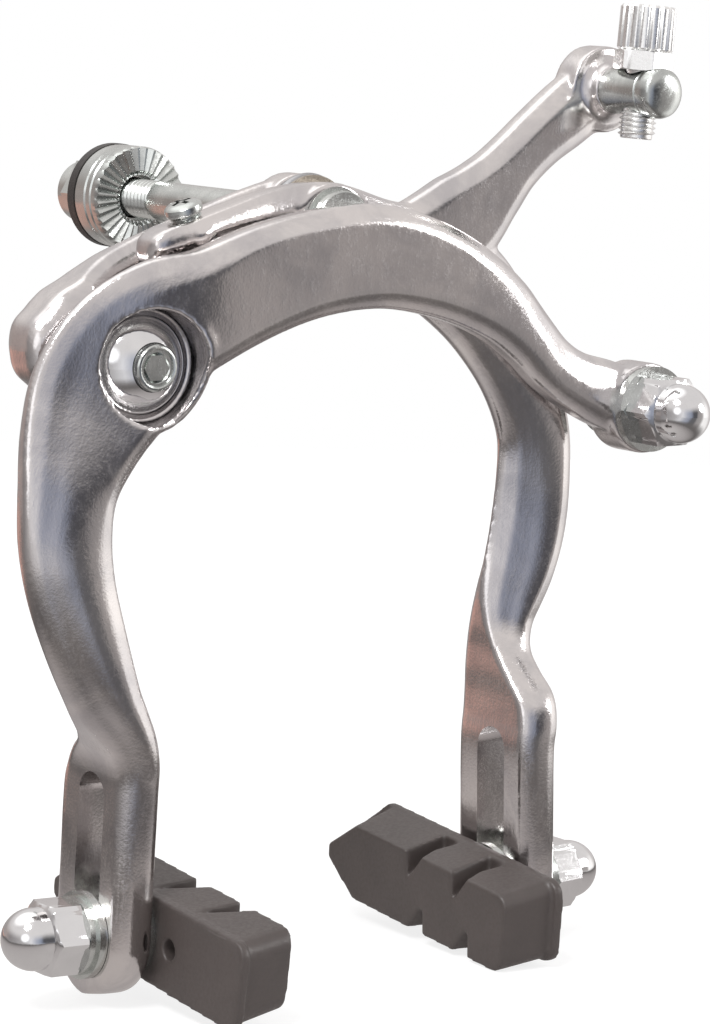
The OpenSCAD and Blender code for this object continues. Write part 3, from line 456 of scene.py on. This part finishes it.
forging("front_arm", "front_arm",
        [sweep(front_rows, front_crown), post(pivot, -4, 3.2, 9.5), tilted_rim(), post(anchor, -8.8, -2.6, 6.9),
         post(anchor, -3, -1.6, 6.2), (ledge, box_faces)],
        [post(pivot, -11, -3.4, 8.1)],
        [post(pivot, -4, 4.2, 5.0), post(pivot, -4, -1.2, 7.6), post(anchor, -11, 1, 3.2), leg_slot(-1)])

# Rear arm: the second forging, with the link screw's lug, the hub on the mounting bolt, the right leg, and the
# branch up to the cable adjuster's eye.
rear_rows = leg_rows(1) + [
    [36.2, -76.0, 6.9, -8.4, 8.5], [36.3, -72.3, 6.9, -7.4, 8.5], [36.1, -69.0, 6.7, -4.4, 8.4],
    [36.2, -65.6, 7.0, -1.4, 8.1], [36.6, -62.0, 8.4, -0.34, 7.2, 3.4, 1.6, 0.4],
    [37.5, -58.0, 10.4, -0.34, 5.96, 4.6, 2.4, 0.7],
    [39.1, -53.0, 12.0, -0.34, 5.06, 5.6, 2.8, 0.9], [40.5, -47.0, 12.6, -0.34, 5.06, 5.8, 2.9, 0.9],
    [41.1, -40.0, 12.4, -0.34, 5.06, 5.4, 2.7, 0.8], [40.7, -32.5, 12.0, -0.34, 5.06, 4.4, 2.2, 0.5],
    [37.8, -25.2, 12.0, -0.34, 5.06, 3.2, 1.6, 0.3], [33.4, -17.8, 13.6, -0.34, 5.06],
    [27.2, -10.8, 15.2, -0.34, 5.06], [19.0, -6.0, 14.6, -0.34, 5.06], [9.5, -3.6, 13.6, -0.34, 5.06],
    [0.0, -0.8, 13.0, -0.34, 5.06], [-8.6, -0.1, 10.0, -0.34, 5.06], [-16.6, -0.8, 7.2, -1.0, 5.06],
    [-24.4, -2.6, 6.4, -1.8, 5.06], [-27.4, -3.2, 6.2, -1.8, 5.06], [-29.4, -3.7, 5.5, -1.5, 4.8],
    [-30.8, -4.0, 4.0, -0.9, 4.3], [-31.5, -4.1, 1.6, 0.4, 3.5]]
eye = (50.4, 19.3)
branch_rows = [
    [13.5, -5.0, 13.0, -0.04, 4.76], [19.5, -3.0, 14.2, -0.24, 4.96], [25.6, 0.0, 14.6, -0.34, 5.06],
    [30.9, 4.4, 11.4, -0.34, 5.06], [34.8, 8.1, 9.6, -0.34, 5.06], [39.4, 11.9, 9.5, -0.34, 5.06],
    [44.2, 15.2, 10.2, -0.34, 5.06], [49.2, 18.5, 10.4, -0.14, 4.86]]

def at_screw(h):
    return tuple(screw_foot + h * screw_up)

rear_crown = [0.25] * 8 + [0.3, 0.4, 0.45, 0.45, 0.4] + [0.35] * 4 + [
    0.4, 0.6, 0.8, 0.6, 0.5, 0.5, 0.6, 0.8] + [1] * 6
forging("rear_arm", "rear_arm",
        [sweep(rear_rows, rear_crown), sweep(branch_rows, 0.1), post((0, -1.3), -0.34, 5.06, 7.0),
         post(eye, 0.06, 5.06, 6.5), post(eye, 0.9, -0.9, 6.4, 4.0), post(eye, -0.7, -1.94, 4.1, 3.6),
         rod(at_screw(1.2), at_screw(5.9), 3.9), rod(at_screw(5.8), at_screw(6.8), 3.9, 2.9)],
        [],
        [post(hub, -2.4, 7.1, 4.5), post(eye, -5, 7, 2.95), rod(at_screw(-2), at_screw(18), 2.15), leg_slot(1)])

# Stock finishes of the small pieces: zinc-plated steel, chromed steel, bright aluminium, spring wire and bronze.
zinc = metal("zinc_steel", (0.66, 0.68, 0.66), (0.40, 0.42, 0.41), 0.14, 0.30,
             patches=160, contrast=0.6, relief=0.02)
chrome = metal("dome_chrome", (0.80, 0.80, 0.805), (0.66, 0.66, 0.67), 0.05, 0.12,
               patches=120, contrast=0.4, relief=0.01)
bright = metal("bright_alloy", (0.93, 0.93, 0.92), (0.76, 0.76, 0.75), 0.24, 0.38,
               patches=160, contrast=0.5, relief=0.02)
wire = metal("dark_steel", (0.42, 0.42, 0.43), (0.26, 0.26, 0.27), 0.25, 0.45)
bronze = metal("bronze", (0.50, 0.45, 0.38), (0.34, 0.30, 0.25), 0.25, 0.40)

# Side pivot: a domed chromed bolt in the front arm's pocket, locked by a socket screw whose head stands out of it.
def frame_at(origin, axis):
    """Carries local Z to an axis through a point given in mm from the pads' plane."""
    stood = Matrix.Translation((Vector(origin) + Vector((0, pad_plane / mm, 0))) * mm)
    return stood @ Vector(axis).to_track_quat("Z", "Y").to_matrix().to_4x4()

def around(loop, count=96, open_ends=False):
    """Mesh round local Z from loop(angle), the [radius, height] points of a closed ring or of a bar's side."""
    turns = np.linspace(0, 2 * math.pi, count + 1)[:-1]
    pts = np.array([[r * math.cos(a), r * math.sin(a), h] for a in turns for r, h in loop(a)])
    k = len(loop(0))
    last = k - 1 if open_ends else k
    faces = [face for i in range(count) for face in between(i * k, (i + 1) % count * k, k)[:last]]
    if open_ends:
        faces += [tuple(i * k for i in range(count)), tuple(i * k + k - 1 for i in reversed(range(count)))]
    return pts, faces

def turned(profile, open_ends=True, count=96):
    return around(lambda a: profile, count, open_ends)

def arch(r, foot, rise, inner, steps=14):
    """Dome's outline from its foot in to a smaller radius."""
    ball = (r * r + rise * rise) / (2 * rise)
    return [(q, foot + rise - ball + math.sqrt(ball * ball - q * q)) for q in np.linspace(r, inner, steps)]

dome_at = frame_at((pivot[0], -3.46, pivot[1]), (0, -1, 0))
dome_profile = [(2.15, -15.98), (3, -15.98), (3, -7.2), (4, -7.2), (4, -2.2), (6.8, -2.2), (7.0, -0.6)]
dome_profile += [(7.0, 0.0)] + arch(7.0, 0.15, 3.75, 3.5) + [(3.42, 2.9), (3.42, 1.3), (2.15, 1.3)]
dome = solid("side_pivot_bolt_head", [turned(dome_profile, False)], dome_at)
finish(dome, "side_pivot_bolt", "bridge", chrome, 30)
screw_profile = [(2, -8), (2, 1.4), (3.38, 1.4), (3.38, 3.75), (3.3, 4.05), (3.1, 4.25), (2.85, 4.3),
                 (2.65, 4.2), (2.55, 3.95)]
screw = solid("side_pivot_socket_screw", [turned(screw_profile)], here)
cut(screw, [turned([(2.02, 2.0), (2.02, 6.0)], count=6), turned([(1.7, 3.45), (2.5, 4.25)])], here)
screw.data.transform(dome_at)
finish(screw, "side_pivot_screw", "bridge", zinc, 30)

# Mounting stack behind the bridge: the bolt's threaded shank, a washer with radial teeth, a steel spacer, a rubber
# ring and the nut. Turned steel, plated.
repeat = bpy.data.node_groups.new("repeat_round", "GeometryNodeTree")
repeat.is_modifier = True
repeat.interface.new_socket("Geometry", in_out="INPUT", socket_type="NodeSocketGeometry")
sizes = {}
for label, kind in (("Count", "NodeSocketInt"), ("Angle", "NodeSocketFloat"), ("Rise", "NodeSocketFloat"),
                    ("Finish", "NodeSocketMaterial")):
    sizes[label] = repeat.interface.new_socket(label, in_out="INPUT", socket_type=kind).identifier
repeat.interface.new_socket("Geometry", in_out="OUTPUT", socket_type="NodeSocketGeometry")
asked = put(repeat, "NodeGroupInput").outputs
lift = put(repeat, "ShaderNodeCombineXYZ", {"Z": asked["Rise"]}).outputs[0]
line = put(repeat, "GeometryNodeMeshLine", {"Count": asked["Count"], "Offset": lift}, mode="OFFSET")
order = put(repeat, "GeometryNodeInputIndex").outputs[0]
swing = put(repeat, "ShaderNodeMath", {0: order, 1: asked["Angle"]}, operation="MULTIPLY").outputs[0]
facing = put(repeat, "ShaderNodeCombineXYZ", {"Z": swing}).outputs[0]
copies = put(repeat, "GeometryNodeInstanceOnPoints",
             {"Points": line.outputs[0], "Instance": asked["Geometry"], "Rotation": facing})
real = put(repeat, "GeometryNodeRealizeInstances", {0: copies.outputs[0]})
welded = put(repeat, "GeometryNodeMergeByDistance", {"Geometry": real.outputs[0], "Distance": 0.002 * mm})
coated = put(repeat, "GeometryNodeSetMaterial", {"Geometry": welded.outputs[0], "Material": asked["Finish"]})
put(repeat, "NodeGroupOutput", {0: coated.outputs[0]})

def ring_of(name, loop, angle, count, rise=0.0, steps=8, material=None):
    """Repeats a sector, whose outline at fraction t is loop(t), count times round local Z, climbing by rise."""
    k = len(loop(0))
    pts = np.array([[r * math.cos(angle * t), r * math.sin(angle * t), h + rise * t]
                    for t in np.arange(steps + 1) / steps for r, h in loop(t)])
    faces = [face for i in range(steps) for face in between(i * k, (i + 1) * k, k)]
    made = solid(name, [(pts, faces)], here)
    made.data.materials.append(material)
    many = made.modifiers.new("repeat", "NODES")
    many.node_group = repeat
    for label, value in (("Count", count), ("Angle", angle), ("Rise", rise * mm), ("Finish", material)):
        many[sizes[label]] = value
    settle(made)
    shape = bmesh.new()
    shape.from_mesh(made.data)
    bmesh.ops.holes_fill(shape, edges=[e for e in shape.edges if e.is_boundary])
    bmesh.ops.recalc_face_normals(shape, faces=shape.faces)
    shape.to_mesh(made.data)
    shape.free()
    return made

def screwed(name, r, pitch, low, high, material=zinc, depth=0.42):
    """Thread ridge on a bar, from low to high along local Z."""
    foot = r - depth - 0.05
    ridge = [(foot, -0.44 * pitch), (r - 0.05, -0.1 * pitch), (r, 0), (r - 0.05, 0.1 * pitch),
             (foot, 0.44 * pitch)]
    count = round(12 * (high - low) / pitch)
    made = ring_of(name, lambda t: ridge, math.radians(30), count, pitch / 12, 3, material)
    made.data.transform(Matrix.Translation((0, 0, low * mm)))
    return made

def join(thing, *others):
    shape = bmesh.new()
    for each in (thing, *others):
        shape.from_mesh(each.data)
    shape.to_mesh(thing.data)
    shape.free()
    for each in others:
        bpy.data.objects.remove(each)
    return thing

def toothed(t):
    """Washer's outline through a tooth: its top slopes up towards the rim, and the gaps are deepest there."""
    gap = abs(2 * t - 1)
    return [(3.6, 0), (7.75, 0), (8.0, 0.25), (8.0, 1.35), (7.8, 2.12 - 0.6 * gap), (4.3, 2.12 - 0.42 * gap),
            (3.85, 1.75 - 0.25 * gap), (3.6, 1.6)]

star = ring_of("serrated_washer_teeth", toothed, 2 * math.pi / 32, 32, material=zinc)
star.data.transform(frame_at((0, 53.2, 0), (0, -1, 0)))
finish(star, "serrated_washer", "bridge", zinc, 22)
spacer_profile = [(3.2, 0), (7.7, 0), (8.0, 0.3), (8.0, 2.7), (7.72, 2.95), (7.72, 3.1), (8.0, 3.3), (8.0, 4.3),
                  (7.7, 4.6), (3.2, 4.6)]
spacer = solid("spacer_washer_turned", [turned(spacer_profile, False)], frame_at((0, 57.8, 0), (0, -1, 0)))
finish(spacer, "spacer_washer", "bridge", zinc, 30)

def block(across, deep, high):
    """Box between two bounds on each axis, in mm."""
    return np.array([[x, y, z] for z in high for x in across for y in deep]), box_faces

bolt_profile = [(4.5, -2.7), (4.7, -2.5), (4.7, -0.7), (3.5, -0.7), (3.5, 5.3), (3.0, 5.3), (3.0, 45.0),
                (2.6, 45.4), (2.6, 69.2), (2.3, 69.5)]
bolt = solid("mounting_bolt_shank", [turned(bolt_profile)], here)
cut(bolt, [block((-6, 6), (-0.6, 0.6), (-4, -2.0))], here)
join(bolt, screwed("bolt_thread", 3.0, 1.0, 45.6, 69.0)).data.transform(frame_at((0, 0, 0), (0, 1, 0)))
finish(bolt, "mounting_bolt", "bridge", zinc, 30)

# Link screw: turned steel with a round cross-slotted head over a threaded neck.
long, half = 1.55, 0.34
link_profile = [(0.5, 0.18), (1.3, 0.55), (1.85, 1.2), (2.1, 2.2), (2.1, 5.9), (1.95, 6.0), (1.95, 8.0),
                (2.35, 8.15), (2.7, 8.5), (2.8, 9.0), (2.7, 9.5), (2.3, 9.9), (1.6, 10.1), (0.8, 10.18)]
link = solid("link_screw_head", [turned(link_profile)], here)
cut(link, [block((-a, a), (-b, b), (9.35, 11)) for a, b in ((long, half), (half, long))], here)
join(link, screwed("link_thread", 2.35, 0.7, 6.3, 7.9)).data.transform(frame_at(screw_foot, screw_up))
finish(link, "link_screw", "link_screw", zinc, 30)

# Cable adjuster: a cross pin turns in the rear arm's eye; the fluted barrel screws down through it against a nut.
stem_lean = math.radians(4.5)
stem_at = Matrix.Translation((eye[0] * mm, -7.74 * mm + pad_plane, eye[1] * mm))
stem_at = stem_at @ Matrix.Rotation(stem_lean, 4, "Y")
pin_profile = [(2.3, -5.86), (2.9, -5.2), (2.9, 1.98), (3.35, 2.0), (3.55, 2.2), (3.55, 10.0), (3.45, 10.15),
               (3.2, 10.3), (3.5, 10.5), (3.7, 10.7), (3.8, 11.4), (3.78, 12.4), (3.6, 13.0), (3.2, 13.45),
               (2.4, 13.75), (1.2, 13.93)]
pin = solid("trunnion_pin", [turned(pin_profile)], frame_at((eye[0], 0, eye[1]), (0, -1, 0)))
cut(pin, [block((-5, 5), (-4.4, 4.2), (3.1, 6))], stem_at)
cut(pin, [turned([(2.45, -8), (2.45, 8)])], stem_at)
finish(pin, "trunnion", "trunnion", zinc, 30)

def hexagon(a, af=8.0, low=3.16, high=6.06, hole=2.85, turned_by=0.14):
    r = af / 2 / math.cos((a - turned_by) % (math.pi / 3) - math.pi / 6)
    cap = min(r, af * 0.53)
    drop = 0.6 * (r - cap)
    return [(hole, low), (cap, low), (r, low + drop + 0.02), (r, high - drop - 0.02), (cap, high), (hole, high)]

nut = solid("adjuster_lock_nut_hexagon", [around(hexagon, 120)], stem_at)
finish(nut, "adjuster_lock_nut", "trunnion", bright, 25)

def fluted(t):
    r = 4.2 - 0.40 * math.exp(-((t - 0.5) / 0.17) ** 2)
    return [(1.1, 6.12), (r - 0.3, 6.12), (r, 6.45), (r, 12.5), (r - 0.3, 12.86), (2.75, 12.86), (2.55, 12.66),
            (2.55, 7.9), (1.1, 7.9)]

barrel = ring_of("adjuster_barrel_flutes", fluted, 2 * math.pi / 16, 16, steps=14, material=bright)
stem_profile = [(1.1, -7), (2.25, -7), (2.4, -6.85), (2.4, 6.3), (1.1, 6.3)]
stem = solid("adjuster_stem", [turned(stem_profile, False)], here)
join(barrel, stem, screwed("adjuster_thread", 2.8, 0.75, -6.6, -2.6)).data.transform(stem_at)
finish(barrel, "adjuster_barrel", "adjuster", bright, 30)

# Acorn nuts: chromed, with a bevelled hexagon and a polished dome, on the anchor and on both pad bolts.
def acorn(a):
    r = 5 / math.cos(a % (math.pi / 3) - math.pi / 6)
    cap = min(r, 5.32)
    fall = 0.55 * (r - cap)
    dome_line = [(4.5 * math.cos(q), 6.0 + 4.7 * math.sin(q)) for q in np.linspace(0.12, 1.45, 12)]
    return [(2.6, 6.5), (2.6, 0.3), (2.9, 0), (cap, 0), (r, 0.03 + fall), (r, 4.75 - fall), (cap, 4.85),
            (4.85, 5.05), (4.5, 5.2), (4.45, 5.5)] + dome_line

for node, body, outward in (("anchor_nut", "front_arm", (0, -1, 0)),
                            ("left_acorn_nut", "left_pad_nut", (-1, 0, math.tan(leg_lean))),
                            ("right_acorn_nut", "right_pad_nut", (1, 0, math.tan(leg_lean)))):
    out = Vector(outward).normalized()
    stood = [part[node].matrix_world @ v.co for v in part[node].data.vertices]
    depth = [v.dot(out) for v in stood]
    top = [v for v, d in zip(stood, depth) if d > max(depth) - 1.0 * mm]
    middle = sum(top, Vector()) / len(top)
    seated = Matrix.Translation(middle + (min(depth) - middle.dot(out)) * out)
    place = seated @ out.to_track_quat("Z", "Y").to_matrix().to_4x4()
    made = solid(node + "_dome", [around(acorn, 120, True)], place)
    finish(made, node, body, chrome, 25)

# Brake pads: moulded rubber with a flange, notched faces and edges rounded by the mould.
def rubber(name, light, dark):
    made = bpy.data.materials.new(name)
    made.use_nodes = True
    tree = made.node_tree
    tree.nodes.clear()
    spot = put(tree, "ShaderNodeTexCoord").outputs["Object"]
    cloud = put(tree, "ShaderNodeTexNoise", {"Vector": spot, "Scale": 140, "Detail": 6, "Roughness": 0.6})
    grain = put(tree, "ShaderNodeTexNoise", {"Vector": spot, "Scale": 1800, "Detail": 3})
    colour = blend(tree, cloud.outputs[0], (*light, 1), (*dark, 1))
    dull = put(tree, "ShaderNodeMapRange", {0: grain.outputs[0], 1: 0.3, 2: 0.7, 3: 0.36, 4: 0.54})
    bump = put(tree, "ShaderNodeBump", {"Height": grain.outputs[0], "Distance": 0.02 * mm, "Strength": 0.5})
    body = put(tree, "ShaderNodeBsdfPrincipled",
               {"Base Color": colour, "Roughness": dull.outputs[0], "Normal": bump.outputs[0]})
    put(tree, "ShaderNodeOutputMaterial", {0: body.outputs[0]})
    return made

pad_rubber = rubber("pad_rubber", (0.070, 0.057, 0.053), (0.048, 0.040, 0.038))
dark_rubber = rubber("dark_rubber", (0.035, 0.030, 0.028), (0.02, 0.018, 0.017))

for side in ("left", "right"):
    cad = part[side + "_pad"]
    made = bpy.data.objects.new(side + "_pad_moulding", cad.data.copy())
    bpy.context.scene.collection.objects.link(made)
    shape = bmesh.new()
    shape.from_mesh(made.data)
    bmesh.ops.remove_doubles(shape, verts=shape.verts, dist=0.001 * mm)
    shape.to_mesh(made.data)
    shape.free()
    made.data.transform(cad.matrix_world)
    grow(made, 0.28)
    soften(made, 3)
    finish(made, side + "_pad", side + "_pad", pad_rubber, 60)

# The rest keep their own turned or wound shapes and take only a finish: the mounting nut, the other washers, the
# studs, the bushes, the spring and the rubber ring.
stock = {"polished_alloy": alloy, "zinc_steel": zinc, "dome_chrome": chrome, "bright_alloy": bright,
         "dark_steel": wire, "bronze": bronze, "pad_rubber": pad_rubber, "dark_rubber": dark_rubber}
for row in frame["record"]["subparts"]:
    for slot in part[row["node"]].material_slots:
        slot.material = stock[row["material_slot"]]
